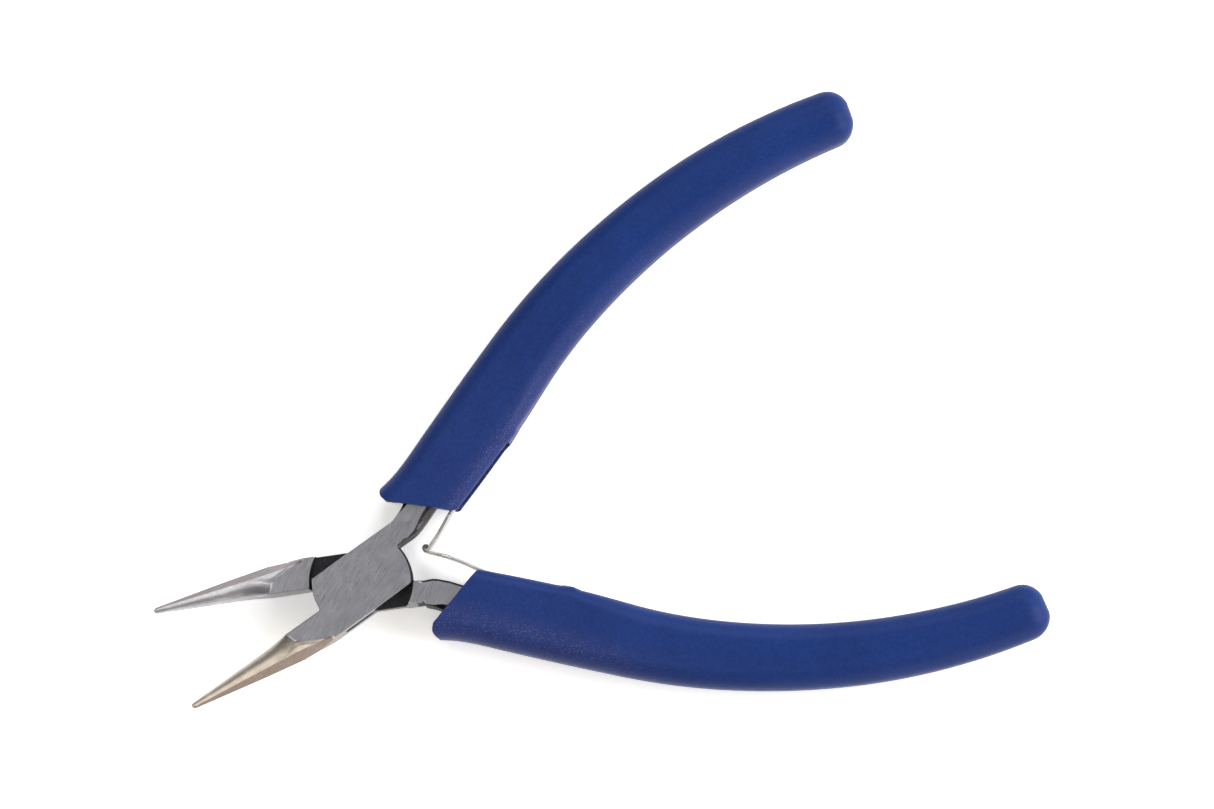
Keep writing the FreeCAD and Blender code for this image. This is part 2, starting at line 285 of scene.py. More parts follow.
def distance_to(points, line, closed=True):
    """Distance of each point from a polyline, and how far round it the foot lies."""
    a = line if closed else line[:-1]
    b = np.roll(line, -1, 0) if closed else line[1:]
    best = np.full(len(points), 1e9)
    foot = np.zeros(len(points))
    ab = b - a
    length = (ab ** 2).sum(1)
    for i in range(len(a)):
        t = np.clip(((points - a[i]) @ ab[i]) / max(length[i], 1e-12), 0, 1)
        d = np.linalg.norm(points - (a[i] + t[:, None] * ab[i]), axis=1)
        closer = d < best
        best[closer] = d[closer]
        foot[closer] = i + t[closer] * 0.9999
    return best, foot


def kind_mask(kinds, wanted):
    return np.array([kind == wanted for kind in kinds])


def flash_width(side, outline, kinds):
    """Width of the unground forged strip inside each point of the outline."""
    back = -outline[:, 0]
    inner = kind_mask(kinds, "inner")
    outer = kind_mask(kinds, "outer")
    if side == "box":
        return inner * 1.0 * smooth(back, 8.3, 14.0) + outer * 0.85 * smooth(back, 9.6, 13.0)
    outer_width = 0.16 * smooth(back, 8.4, 9.4) + 0.74 * smooth(back, 9.7, 11.6)
    return inner * 0.34 * smooth(back, 7.9, 9.5) + outer * outer_width


def nearest_strip(points, outline, kinds, side):
    """Distance from the outline, the index of its nearest point, and the unground strip's width there."""
    d, foot = distance_to(points, outline)
    widths = flash_width(side, outline, kinds)
    first = foot.astype(int)
    part = foot - first
    return d, first, widths[first] * (1 - part) + np.roll(widths, -1)[first] * part


def strip_height(share, width):
    """Sunken strip: it slopes up a little and then steps up to the ground face."""
    drop = np.minimum(0.8, width * 0.95)
    return MID - drop * (0.65 + 0.35 * (1 - share)) * (1 - smooth(share, 0.8, 1.0))


def relief(side, points, outline, kinds):
    """Height above the middle plane, how dark the steel is made (its oxide, and painted shade on the nose's
    facets), and where the jaw is ground round.
    """
    x, y = points[:, 0], points[:, 1]
    d, first, width = nearest_strip(points, outline, kinds, side)
    height = np.where(x > JAW_X, jaw_height(x, y), MID)
    cone = np.where((x > JAW_X) & (height < MID - 0.004), 1.0, 0.0)
    oxide_and_shade = np.zeros(len(points))

    # The unground strips along the shank; on its inner side they have a greyer band
    share = np.clip(d / np.maximum(width, 0.05), 0, 1)
    in_strip = (width > 0.04) & (share < 1.0 - 1e-5)
    height = np.where(in_strip, np.minimum(height, strip_height(share, width)), height)
    grey_band = kind_mask(kinds, "inner")[first] & (share < 0.66) & (width > 0.5)
    blackness = np.where(grey_band, GREY_BAND, 1.0) * (1 - smooth(share, 0.84, 0.98))
    oxide_and_shade = np.where(in_strip, blackness, oxide_and_shade)
    black_edge = kind_mask(kinds, "arc")[first] & (d < EDGE_R * 0.7)
    oxide_and_shade = np.where(black_edge, ARC_BLACK, oxide_and_shade)

    # The tang is a little thinner inside its sleeve, and unground there
    covered = (-x * 0.75 + y * 0.66 > 10.3) & (x < -12.0)
    height = np.where(covered, np.minimum(height, 3.0), height)
    oxide_and_shade = np.where(covered & (x < -16.0), UNGROUND, oxide_and_shade)

    crease, ridge = nose_at(x)[1:]
    # Painted shade: the nose's outer facets are browned
    facet = (x > 8.2) & (y > crease + 0.02) & (y < ridge + 0.4)
    oxide_and_shade = np.where(facet, FACET_PAINTED_SHADE, oxide_and_shade)

    if side == "tongue":
        radius = np.hypot(x, y)
        wall = smooth(radius, TONGUE_R, SHOULDER_R)
        height = np.where(radius < SHOULDER_R, TONGUE_H + (height - TONGUE_H) * wall, height)
        oxide_and_shade = np.where(radius < SHOULDER_R - 1e-3, 1.0, oxide_and_shade)

    # Rounded edges, fading out where the jaw is thin
    r = EDGE_R
    rounding = r - np.sqrt(np.maximum(r ** 2 - (r - np.minimum(d, r)) ** 2, 0))
    height = height - np.where(d < r, rounding, 0) * np.clip((height - 0.35) / 1.2, 0, 1)
    return np.maximum(height, 0.02), oxide_and_shade, cone


def filling_points(side, outline, normal):
    """Free points of the plan: rows beside the outline, and grids, finer where the relief changes."""
    free = []
    for ring in RINGS:
        moved = outline + normal * ring
        d, _ = distance_to(moved, outline)
        free.append(moved[d > ring * 0.93])

    def grid(x_range, y_range, step, turn=0.0):
        gx, gy = np.meshgrid(np.arange(*x_range, step), np.arange(*y_range, step))
        free.append(spin(np.stack([gx.ravel(), gy.ravel()], -1), turn))

    grid((7.9, TIP_X), (0.05, 4.7), 0.22)
    grid((-17.0, -8.0), (-10.0, -0.8), 0.25, HANDLE_SPLAY[side])
    grid((-7.5, 7.6), (-4.0, 4.1), 1.0)
    return np.concatenate(free)


def feature_lines(side, outline, kinds, normal):
    """Lines that the mesh follows: ends of the flat face, crease, strips and shoulders."""
    flat_x = np.linspace(8.95, 12.95, 24)
    lines = [np.stack([flat_x, np.sqrt(np.maximum(root_radius(flat_x) ** 2 - MID ** 2, 0))], -1)]
    crease_x = np.linspace(8.5, 30.4, 84)
    for beyond in (0.0, 0.1):
        lines.append(np.stack([crease_x, nose_at(crease_x)[1] + beyond], -1))
    front_y = np.linspace(0.06, 1.62, 16)
    lines.append(np.stack([flat_end(front_y), front_y], -1))
    width = flash_width(side, outline, kinds)
    for which in ("inner", "outer"):
        chosen = kind_mask(kinds, which) & (width > 0.06) & (outline[:, 0] > STRIP_BACK)
        for share in (0.66, 0.8, 1.0):
            lines.append((outline + normal * (width * share)[:, None])[chosen])
    if side == "tongue":
        for start, end in ((-38, 40), (142, 218)):
            for radius in (TONGUE_R, SHOULDER_R):
                lines.append(np.array(arc(radius, start, end, 2.0)))
    return lines


def thin_out(free, lines, outline, widths):
    """Drops free points that lie outside, or too near the strips' steps and the feature lines."""
    d, _ = distance_to(free, outline)
    free = free[inside_of(free, outline) & (d > 0.02)]
    d, foot = distance_to(free, outline)
    here = widths[foot.astype(int)]
    near = (here > 0.06) & (free[:, 0] > STRIP_BACK) & (d > 0.76 * here) & (d < here + 0.06)
    for line in lines:
        d, _ = distance_to(free, line, closed=False)
        near |= d < 0.07
    return free[~near]


def plan_mesh(side, outline, kinds):
    """Triangles of one half in plan, with its feature lines as edges."""
    normal = inward(outline)
    lines = feature_lines(side, outline, kinds, normal)
    free = filling_points(side, outline, normal)
    free = thin_out(free, lines, outline, flash_width(side, outline, kinds))
    coords = [Vector(p) for p in outline]
    edges = [(i, (i + 1) % len(outline)) for i in range(len(outline))]
    for line in lines:
        d, _ = distance_to(line, outline)
        line = line[inside_of(line, outline) & (d > 0.03)]
        start = len(coords)
        coords += [Vector(p) for p in line]
        gaps = np.linalg.norm(np.diff(line, axis=0), axis=1)
        edges += [(start + i, start + i + 1) for i in range(len(line) - 1) if gaps[i] < 1.2]
    coords += [Vector(p) for p in free]
    verts, _, faces, *_ = geometry.delaunay_2d_cdt(coords, edges, [], 1, 1e-5)
    return np.array([tuple(v) for v in verts]), [tuple(f) for f in faces]


def half_mesh(side):
    """The relief above and below the middle plane, joined by a wall round the outline."""
    outline, kinds = half_outline(side)
    flat, tris = plan_mesh(side, outline, kinds)
    height, oxide_and_shade, cone = relief(side, flat, outline, kinds)
    count = len(flat)
    used = {(f[i], f[(i + 1) % len(f)]): True for f in tris for i in range(len(f))}
    border = [(a, b) for a, b in used if (b, a) not in used]
    index = {}
    for a, _ in border:
        if a not in index:
            index[a] = 2 * count + len(index)
    faces = tris + [tuple(count + i for i in reversed(f)) for f in tris]
    for a, b in border:
        faces.append((b, a, index[a], index[b]))
        faces.append((index[b], index[a], count + a, count + b))
    wall = flat[list(index)]
    wall_oxide_and_shade = np.array([side_oxide_and_shade(spot) for spot in wall])
    # The outline's points take the walls' darkening too: black oxide on the arcs and shank, painted shade
    # elsewhere.
    for a in index:
        oxide_and_shade[a] = max(oxide_and_shade[a], side_oxide_and_shade(flat[a]))
    points = np.concatenate([
        np.column_stack([flat, MID + height]),
        np.column_stack([flat, MID - height]),
        np.column_stack([wall, np.full(len(wall), MID)]),
    ])
    # These walls share the round jaws' mask: their grain and roughness, and the painted reflection tint.
    wall_jaw_grain_and_reflection = np.where((wall[:, 0] > JAW_X) | (wall[:, 1] > 3.0), 1.0, 0.0)
    dark = np.concatenate([oxide_and_shade, oxide_and_shade, wall_oxide_and_shade])
    return points, faces, {"dark": dark, "cone": np.concatenate([cone, cone, wall_jaw_grain_and_reflection])}


def side_oxide_and_shade(point):
    """The arcs and the shank's edges keep their black finish; the long sides are ground, and they and the
    other walls are browned a little as painted shade.
    """
    x, y = point
    on_shank = x < -SHOULDER_R
    on_arc = abs(math.hypot(x, y) - PLATE_R) < 0.35 and abs(y) < 4.2
    return UNGROUND if on_shank or on_arc else WALL_PAINTED_SHADE


def inside_of(points, outline):
    """Which points lie inside the closed outline, by counting crossings."""
    x, y = points[:, 0], points[:, 1]
    result = np.zeros(len(points), bool)
    a = outline
    b = np.roll(outline, -1, 0)
    for (x0, y0), (x1, y1) in zip(a, b):
        cross = ((y0 > y) != (y1 > y)) & (x < (x1 - x0) * (y - y0) / (y1 - y0 + 1e-15) + x0)
        result ^= cross
    return result


def tool_disc(radius, z_low, z_high, segments=160):
    """Cutting tool on the pivot's axis."""
    wide = radius * 0.001
    bm = bmesh.new()
    bmesh.ops.create_cone(
        bm, cap_ends=True, segments=segments, radius1=wide, radius2=wide, depth=(z_high - z_low) * 0.001
    )
    bmesh.ops.translate(bm, verts=bm.verts, vec=(0, 0, (z_high + z_low) / 2 * 0.001))
    mesh = bpy.data.meshes.new("tool")
    bm.to_mesh(mesh)
    bm.free()
    return link("tool", mesh)


def cut(obj, tools):
    """Cuts the tools out of the object, for good, and removes them."""
    for tool in tools:
        mod = obj.modifiers.new("cut", "BOOLEAN")
        mod.operation = "DIFFERENCE"
        mod.solver = "EXACT"
        mod.object = tool
    evaluated = obj.evaluated_get(bpy.context.evaluated_depsgraph_get())
    mesh = bpy.data.meshes.new_from_object(evaluated)
    obj.modifiers.clear()
    obj.data = mesh
    for tool in tools:
        bpy.data.objects.remove(tool)
    return obj


def steel_half(side):
    """One forging, drilled for the pin; the box half is also slotted for the tongue."""
    points, faces, masks = half_mesh(side)
    name = side + "_half_forging"
    obj = link(name, make_mesh(name, to_row(points, side), faces, masks))
    tools = [tool_disc(PIN_HOLE_R[side], -1, 8, 96)]
    if side == "box":
        tools.insert(0, tool_disc(SLOT_R, MID - SLOT_HALF_HEIGHT, MID + SLOT_HALF_HEIGHT))
    cut(obj, tools)
    obj.data.set_sharp_from_angle(angle=SHARP)
    weighted = obj.modifiers.new("even shading", "WEIGHTED_NORMAL")
    weighted.keep_sharp = True
    return obj


# ------------------------------------------------------------------- sleeves
# The handle's middle line: a straight stretch, then an arc
LINE_START = (-14.0, -4.45)
SLOPE = math.radians(20.08)
STRAIGHT = 25.4
CURVE_R = 99.2
SLEEVE_END = 85.0
END_ROUND = 3.4
SLEEVE_HIGH = 4.3
# Along the handle: half width on the inner side, and on the outer side
STATIONS = [
    (-6.0, 4.9, 6.9), (-3.5, 4.95, 6.5), (-1.8, 4.98, 6.25), (0.6, 5.02, 5.8), (3.0, 5.1, 5.62),
    (8.0, 5.3, 5.6), (17.0, 5.45, 5.55), (31.0, 5.1, 5.25), (48.0, 4.9, 4.85), (66.0, 4.6, 4.6),
    (SLEEVE_END, 4.1, 4.25),
]
WIDTHS = spline(STATIONS, 240)
CORNER_R = 3.1
SQUARER = 1.2  # the slit side's corners are this much tighter near the slit
# The mouth: where the sleeve begins, from the inner edge to the outer one
MOUTH = spline([
    (-5.4, 1.75), (-4.0, 1.15), (-2.0, 0.2), (0.2, -0.8), (2.0, -1.75),
    (3.6, -2.5), (4.6, -2.85), (5.4, -2.95), (6.4, -2.95),
], 120)
MOUTH_LEAN = 0.75  # the mouth is set back this far at the underside
LIP_FROM = 4.85
LIP_R = 1.45
SLIT_END = 14.6
BUMP_S = 15.4
BUMP_HIGH = 0.42
WALL = 0.0012  # thickness of the skin, in metres


def handle_point(s):
    """Point of the handle's middle line at s, and the way out from it."""
    straight = min(s, STRAIGHT)
    x = LINE_START[0] - straight * math.cos(SLOPE)
    y = LINE_START[1] - straight * math.sin(SLOPE)
    heading = SLOPE
    if s > STRAIGHT:
        heading = SLOPE - (s - STRAIGHT) / CURVE_R
        x -= CURVE_R * (math.sin(SLOPE) - math.sin(heading))
        y -= CURVE_R * (math.cos(heading) - math.cos(SLOPE))
    return np.array([x, y]), np.array([math.sin(heading), -math.cos(heading)])


def mouth_start(across, up=0.0):
    """Where along the handle the sleeve begins: a slanted line with a rounded lip, set back underneath."""
    across = np.asarray(across, float)
    line = np.interp(across, MOUTH[:, 0], MOUTH[:, 1])
    past = np.clip(across - LIP_FROM, 0, LIP_R - 1e-6)
    lip = LIP_R - np.sqrt(LIP_R ** 2 - past ** 2)
    heel = 0.5 * np.clip(-4.6 - across, 0, 1)
    below = (SLEEVE_HIGH - np.asarray(up, float)) / (2 * SLEEVE_HIGH)
    return line + lip + heel + MOUTH_LEAN * below


def section_shape():
    """One section as (kind, across side, up side, parameter) for each point, in order round it."""
    bend = [0.0, 0.195, 0.31, 0.433, 0.58, 0.72, 0.86, 1.0, 1.15, 1.3, 1.45]
    shape = []
    for quarter, (sa, sz) in enumerate([(1, 1), (-1, 1), (-1, -1), (1, -1)]):
        turn = bend if quarter % 2 == 0 else bend[::-1]
        shape += [("bend", sa, sz, t) for t in turn]
        if quarter % 2 == 0:
            shape += [("top", sa, sz, (i + 0.5) / 6) for i in range(6)]
        else:
            shape += [("side", sa, sz, t) for t in (0.125, 0.375, 0.625, 0.875)]
    return shape


SHAPE = section_shape()


def in_slit(point):
    """The slit opens further towards the top lip than towards the bottom one."""
    kind, sa, sz, t = point
    return sa < 0 and (kind == "side" or (kind == "bend" and sz > 0 and t < 0.2))


def section_points(s, inset=0.0):
    """Across and up for rows of sections; s has one value for each point."""
    s = np.asarray(s, float)
    clipped = np.minimum(s, SLEEVE_END)
    inner_w = np.interp(clipped, WIDTHS[:, 0], WIDTHS[:, 1]) - inset
    inner_w = inner_w + BUMP_HIGH * np.exp(-((s - BUMP_S) / 0.9) ** 2)
    outer_w = np.interp(clipped, WIDTHS[:, 0], WIDTHS[:, 2]) - inset
    high = SLEEVE_HIGH - 0.3 * np.clip(s, 0, SLEEVE_END) / SLEEVE_END - inset
    inner_side = np.array([point[1] < 0 for point in SHAPE])
    square = SQUARER * (1 - smooth(s, 15, 27))
    corner = CORNER_R - np.where(inner_side, square, 0) - inset
    corner = np.minimum(corner, np.minimum(high - 0.02, inner_w - 0.05))
    corner = np.maximum(corner, 0.05)
    opposite = CORNER_R - np.where(inner_side, 0, square) - inset
    across = np.zeros_like(s)
    up = np.zeros_like(s)
    for j, (kind, sa, sz, t) in enumerate(SHAPE):
        c, h = corner[..., j], high[..., j]
        here = (outer_w if sa > 0 else inner_w)[..., j]
        other = (inner_w if sa > 0 else outer_w)[..., j]
        if kind == "bend":
            across[..., j] = sa * (here - c + c * math.cos(t))
            up[..., j] = sz * (h - c + c * math.sin(t))
        elif kind == "top":
            across[..., j] = sa * ((here - c) - (here + other - c - opposite[..., j]) * t)
            up[..., j] = sz * (h + 0.16 * math.sin(math.pi * t) - 0.08)
        else:
            across[..., j] = sa * here
            up[..., j] = sz * (h - c) * (1 - 2 * t)
    return across, up


def along_handle(s, across, up):
    """Places section points on the handle's middle line."""
    spots = [handle_point(v) for v in s.ravel()]
    base = np.array([spot[0] for spot in spots]).reshape(s.shape + (2,))
    out = np.array([spot[1] for spot in spots]).reshape(s.shape + (2,))
    xy = base + out * across[..., None]
    return np.concatenate([xy, (MID + up)[..., None]], -1)


def dust_amount(side, s, across):
    """Pale dust rubbed into the skin, mostly near the mouth and along one flank."""
    near_mouth = 1 - smooth(s, 4, 46)
    if side == "box":
        flank = smooth(-across, 1.5, 4.6)
        return np.clip(0.75 * flank + 0.35 * near_mouth, 0, 1)
    flank = smooth(across, -1.0, 3.6)
    return np.clip(near_mouth * (0.35 + 0.9 * flank) + 0.25 * flank, 0, 1)


def sleeve_rows():
    """Place along the handle of each point, row by row from the mouth to where the end rounds off."""
    front = [0.0, 0.12, 0.35, 0.75]
    depth = np.r_[front, np.arange(1.4, SLIT_END, 1.0), np.arange(SLIT_END + 1.0, 84.0, 1.5), SLEEVE_END]
    share = (depth / depth[-1])[:, None]
    start = np.zeros(len(SHAPE))
    for _ in range(6):
        start = mouth_start(*section_points(start))
    s = start[None, :] * (1 - share) + SLEEVE_END * share
    snap = (s[1:] >= SLIT_END) & (s[:-1] < SLIT_END)
    s[1:][snap] = SLIT_END
    return s


def sleeve_skin(side):
    """Outer skin of one sleeve, open at the mouth and along the slit."""
    count = len(SHAPE)
    blocks = [(sleeve_rows(), 0.0)]
    for angle in (12, 24, 36, 48, 59, 69, 78):
        a = math.radians(angle)
        row = np.full((1, count), SLEEVE_END + END_ROUND * math.sin(a))
        blocks.append((row, END_ROUND * (1 - math.cos(a))))
    grids, masks = [], []
    for s, inset in blocks:
        across, up = section_points(s, inset)
        grids.append(along_handle(s, across, up))
        masks.append(dust_amount(side, s, across))
    s = np.concatenate([block[0] for block in blocks])
    faces = []
    for k in range(len(s) - 1):
        for j in range(count):
            nxt = (j + 1) % count
            middle = (s[k, j] + s[k + 1, j]) / 2
            if in_slit(SHAPE[j]) and in_slit(SHAPE[nxt]) and middle < SLIT_END:
                continue
            a, b = k * count + j, k * count + nxt
            faces.append((a, b, b + count, a + count))
    centre, out = handle_point(SLEEVE_END + END_ROUND)
    tip = [centre[0] + out[0] * 0.1, centre[1] + out[1] * 0.1, MID]
    points = np.vstack([np.concatenate(grids).reshape(-1, 3), tip])
    last = (len(s) - 1) * count
    faces += [(last + j, last + (j + 1) % count, len(points) - 1) for j in range(count)]
    return points, faces, np.r_[np.concatenate(masks).ravel(), 0.1]


def sleeve_mesh(side):
    """One sleeve: its skin given the wall's thickness, with softened edges."""
    points, faces, dust = sleeve_skin(side)
    rows = to_row(points, side, HANDLE_SPLAY[side])
    obj = link(side + "_sleeve", make_mesh(side + "_sleeve", rows, faces, {"dust": dust}, sharp=None))
    solid = obj.modifiers.new("wall", "SOLIDIFY")
    solid.thickness = WALL
    solid.offset = -1
    solid.use_even_offset = True
    bevel = obj.modifiers.new("soft edges", "BEVEL")
    bevel.width = 0.0004
    bevel.segments = 3
    bevel.limit_method = "ANGLE"
    bevel.angle_limit = math.radians(55)
    evaluated = obj.evaluated_get(bpy.context.evaluated_depsgraph_get())
    obj.data = bpy.data.meshes.new_from_object(evaluated)
    obj.modifiers.clear()
    obj.data.shade_smooth()
    return obj


def mouth_web(side):
    """The sleeve's moulded end face between the lip and the shank, as a closed plate."""
    across = np.r_[np.arange(-2.3, 4.3, 0.5), 4.5, 4.9, 5.2]
    corner_from = 2.85
    corner_r = 3.0
    front, back = [], []
    for a in across:
        half = 4.05
        if a >= corner_from:
            half = 0.95 + math.sqrt(max(corner_r ** 2 - (a - corner_from) ** 2, 0))
        for store, depth in ((front, 0.7), (back, 2.2)):
            for up in (half, -half):
                centre, out = handle_point(float(mouth_start(a, up)) + depth)
                xy = centre + out * a
                store.append((xy[0], xy[1], MID + up))
    n = len(across)
    points = front + back
    faces = []
    for i in range(n - 1):
        a, b, c, d = 2 * i, 2 * i + 1, 2 * i + 3, 2 * i + 2
        faces += [(a, b, c, d), tuple(2 * n + v for v in (d, c, b, a))]
        faces += [(a, d, 2 * n + d, 2 * n + a), (c, b, 2 * n + b, 2 * n + c)]
    faces += [(1, 0, 2 * n, 2 * n + 1), (2 * n - 2, 2 * n - 1, 4 * n - 1, 4 * n - 2)]
    rows = to_row(points, side, HANDLE_SPLAY[side])
    name = side + "_sleeve_end"
    return link(name, make_mesh(name, rows, faces, {"dust": np.full(len(points), 0.1)}, sharp=40))


# --------------------------------------------------------------- leaf springs
LEAF_THICK = 0.5
LEAF_HALF_WIDTH = 1.5
LEAF_ROOT = (-29.6, -5.02)
LEAF_LINE = {
    "box": [LEAF_ROOT, (-23.6, -3.55), (-16.6, -0.8), (-13.0, 0.85), (-10.75, 1.72)],
    "tongue": [LEAF_ROOT, (-23.6, -3.15), (-17.3, -0.1), (-15.3, 1.1), (-12.9, 2.3), (-10.15, 3.42)],
}
BARREL_R = -0.34  # the box leaf's end is rolled back towards the handle
RIVET_X = -28.4


def leaf_path(side, hook):
    """Middle line of the leaf, with a barrel rolled at its end where hook is its signed radius."""
    path = list(spline(LEAF_LINE[side], 60))
    if hook:
        end = path[-1]
        heading = path[-1] - path[-2]
        heading /= np.linalg.norm(heading)
        out = np.array([-heading[1], heading[0]]) * np.sign(hook)
        roll = abs(hook)
        for angle in range(24, 289, 24):
            a = math.radians(angle)
            path.append(end + heading * roll * math.sin(a) + out * roll * (1 - math.cos(a)))
    return np.array(path)


def strip_section():
    """Rounded corners of the strip: corner signs, then the corner arc's cosine and sine."""
    section = []
    for ca, cz in ((1, 1), (-1, 1), (-1, -1), (1, -1)):
        for i in range(5):
            t = i / 4 * math.pi / 2
            if ca * cz < 0:
                t = math.pi / 2 - t
            section.append((ca, cz, math.cos(t), math.sin(t)))
    return section


def leaf_mesh(side, half_width_at, hook):
    """Rolled strip: rounded rectangle swept along its middle line."""
    path = leaf_path(side, hook)
    section = strip_section()
    corner = 0.15
    points = []
    n = len(section)
    travelled = np.r_[0, np.cumsum(np.linalg.norm(np.diff(path, axis=0), axis=1))]
    for k, p in enumerate(path):
        t = path[min(k + 1, len(path) - 1)] - path[max(k - 1, 0)]
        t /= np.linalg.norm(t)
        out = np.array([-t[1], t[0]])
        half_w = half_width_at(travelled[k], travelled[-1])
        for ca, cz, c, s in section:
            across = ca * (LEAF_THICK / 2 - corner + corner * c)
            up = cz * (half_w - corner + corner * s)
            xy = p + out * across
            points.append((xy[0], xy[1], MID + up))
    faces = []
    for k in range(len(path) - 1):
        for j in range(n):
            a = k * n + j
            b = k * n + (j + 1) % n
            faces.append((a, b, b + n, a + n))
    faces.append(tuple(reversed(range(n))))
    faces.append(tuple(range((len(path) - 1) * n, len(path) * n)))
    rows = to_row(points, side, HANDLE_SPLAY[side])
    spread = np.repeat(travelled, n)
    # Painted shade: the leaf's root, in the sleeve's slit, is made dark brown; its rolled end is darkened
    # as well.
    slit_shade_and_dark_end = 1 - smooth(spread, 8.5, 12.0)
    if hook:
        slit_shade_and_dark_end = np.maximum(slit_shade_and_dark_end, 0.8 * smooth(spread, travelled[-1] - 1.7, travelled[-1] - 1.0))
    name = side + "_leaf"
    return link(name, make_mesh(name, rows, faces, {"dark": slit_shade_and_dark_end}, sharp=40))


def box_leaf():
    """The strip rolled into a small barrel, which the other leaf bears on."""
    return leaf_mesh("box", lambda t, total: LEAF_HALF_WIDTH, BARREL_R)


def tongue_leaf():
    """The strip narrows towards its plain end."""
    def width(t, total):
        return LEAF_HALF_WIDTH - 0.3 * float(smooth(np.array(t), total - 3.6, total - 2.2))
    return leaf_mesh("tongue", width, 0)


def leaf_root(side):
    """Where the rivet goes through the leaf, and the leaf's direction there."""
    a, b = np.array(LEAF_LINE[side][0]), np.array(LEAF_LINE[side][1])
    return a + (b - a) * (RIVET_X - a[0]) / (b[0] - a[0]), (b - a) / np.linalg.norm(b - a)


def leaf_bend_points(side):
    """Two points on the leaf: one just behind its rivet, and one near the sleeve's mouth."""
    spot, _ = leaf_root(side)
    far = LEAF_LINE[side][3]
    ends = [(spot[0] - 1.0, spot[1] - 0.25, MID), (far[0], far[1], MID)]
    near_end, far_end = to_row(ends, side, HANDLE_SPLAY[side])
    return tuple(near_end), tuple(far_end)


def rivet_mesh(side):
    """Low domed rivet through the leaf's root, turned about its own axis."""
    spot, heading = leaf_root(side)
    out = np.array([-heading[1], heading[0]])
    # radius and rise of the shank, then of the head
    profile = [
        (0.7, -2.1), (0.7, 0.2), (0.98, 0.25), (1.02, 0.3),
        (0.98, 0.36), (0.84, 0.43), (0.6, 0.48), (0.3, 0.505),
    ]
    segments = 32
    points = []
    for radius, rise in profile:
        for i in range(segments):
            turn = 2 * math.pi * i / segments
            xy = spot + heading * radius * math.cos(turn) + out * rise
            points.append((xy[0], xy[1], MID + radius * math.sin(turn)))
    faces = []
    for k in range(len(profile) - 1):
        for i in range(segments):
            a, b = k * segments + i, k * segments + (i + 1) % segments
            faces.append((a, b, b + segments, a + segments))
    faces.append(tuple(range(segments)))
    faces.append(tuple(reversed(range((len(profile) - 1) * segments, len(profile) * segments))))
    rows = to_row(points, side, HANDLE_SPLAY[side])
    name = side + "_rivet"
    # Painted shade: the rivet is made black all over, as it sits in the shade of the sleeve's slit.
    return link(name, make_mesh(name, rows, faces, {"dark": np.ones(len(points))}, sharp=40))


# ------------------------------------------------------------------ materials
def material(name):
    mat = bpy.data.materials.new(name)
    mat.use_nodes = True
    return mat, mat.node_tree, mat.node_tree.nodes["Principled BSDF"]


def node(tree, kind, inputs=None, **settings):
    made = tree.nodes.new(kind)
    for key, value in settings.items():
        setattr(made, key, value)
    for key, value in (inputs or {}).items():
        made.inputs[key].default_value = value
    return made


def ramp(tree, source, stops):
    """Colours placed along the source's value."""
    made = tree.nodes.new("ShaderNodeValToRGB")
    elements = made.color_ramp.elements
    while len(elements) < len(stops):
        elements.new(0.5)
    for element, (place, colour) in zip(elements, stops):
        element.position = place
        element.color = (*colour, 1)
    tree.links.new(source, made.inputs[0])
    return made


def noise(tree, scale, detail, roughness, place=None):
    """Noise in the row frame's own coordinates, or in those of the output given."""
    made = node(tree, "ShaderNodeTexNoise", {"Scale": scale, "Detail": detail, "Roughness": roughness})
    if place is None:
        place = node(tree, "ShaderNodeTexCoord").outputs["Object"]
    tree.links.new(place, made.inputs["Vector"])
    return made.outputs["Fac"]


def attribute(tree, name):
    """A mask that the mesh carries on its points."""
    return node(tree, "ShaderNodeAttribute", attribute_name=name).outputs["Fac"]


def remap(tree, source, start, end, low, high):
    """Start to end of the source becomes low to high."""
    limits = {"From Min": start, "From Max": end, "To Min": low, "To Max": high}
    made = node(tree, "ShaderNodeMapRange", limits)
    tree.links.new(source, made.inputs["Value"])
    return made.outputs[0]


def mix(tree, factor, first, second, blend="MIX"):
    """Mixes two colours; factor and second are outputs or constants."""
    made = node(tree, "ShaderNodeMix", data_type="RGBA", blend_type=blend)
    tree.links.new(first, made.inputs[6])
    for value, socket in ((factor, made.inputs["Factor"]), (second, made.inputs[7])):
        if isinstance(value, bpy.types.NodeSocket):
            tree.links.new(value, socket)
        elif isinstance(value, tuple):
            socket.default_value = (*value, 1)
        else:
            socket.default_value = value
    return made.outputs[2]


def scaled(tree, source, factor, offset):
    """source * factor + offset, where offset is an output or a number."""
    made = node(tree, "ShaderNodeMath", operation="MULTIPLY_ADD")
    made.inputs[1].default_value = factor
    tree.links.new(source, made.inputs[0])
    if isinstance(offset, bpy.types.NodeSocket):
        tree.links.new(offset, made.inputs[2])
    else:
        made.inputs[2].default_value = offset
    return made.outputs[0]


def bump(tree, height, strength, distance, normal=None):
    made = node(tree, "ShaderNodeBump", {"Strength": strength, "Distance": distance})
    tree.links.new(height, made.inputs["Height"])
    if normal is not None:
        tree.links.new(normal, made.inputs["Normal"])
    return made.outputs[0]


def streaks(tree, degrees, along, across_scale):
    """Fine parallel scratches running at an angle in the row frame's plan."""
    place = node(tree, "ShaderNodeTexCoord")
    turned = node(tree, "ShaderNodeVectorRotate", rotation_type="Z_AXIS")
    turned.inputs["Angle"].default_value = -math.radians(degrees)
    tree.links.new(place.outputs["Object"], turned.inputs["Vector"])
    stretch = node(tree, "ShaderNodeMapping")
    stretch.inputs["Scale"].default_value = (along, across_scale, across_scale * 0.6)
    tree.links.new(turned.outputs[0], stretch.inputs[0])
    return noise(tree, 1.0, 4.0, 0.68, stretch.outputs[0])


STEEL_TONE = (0.315, 0.318, 0.352)


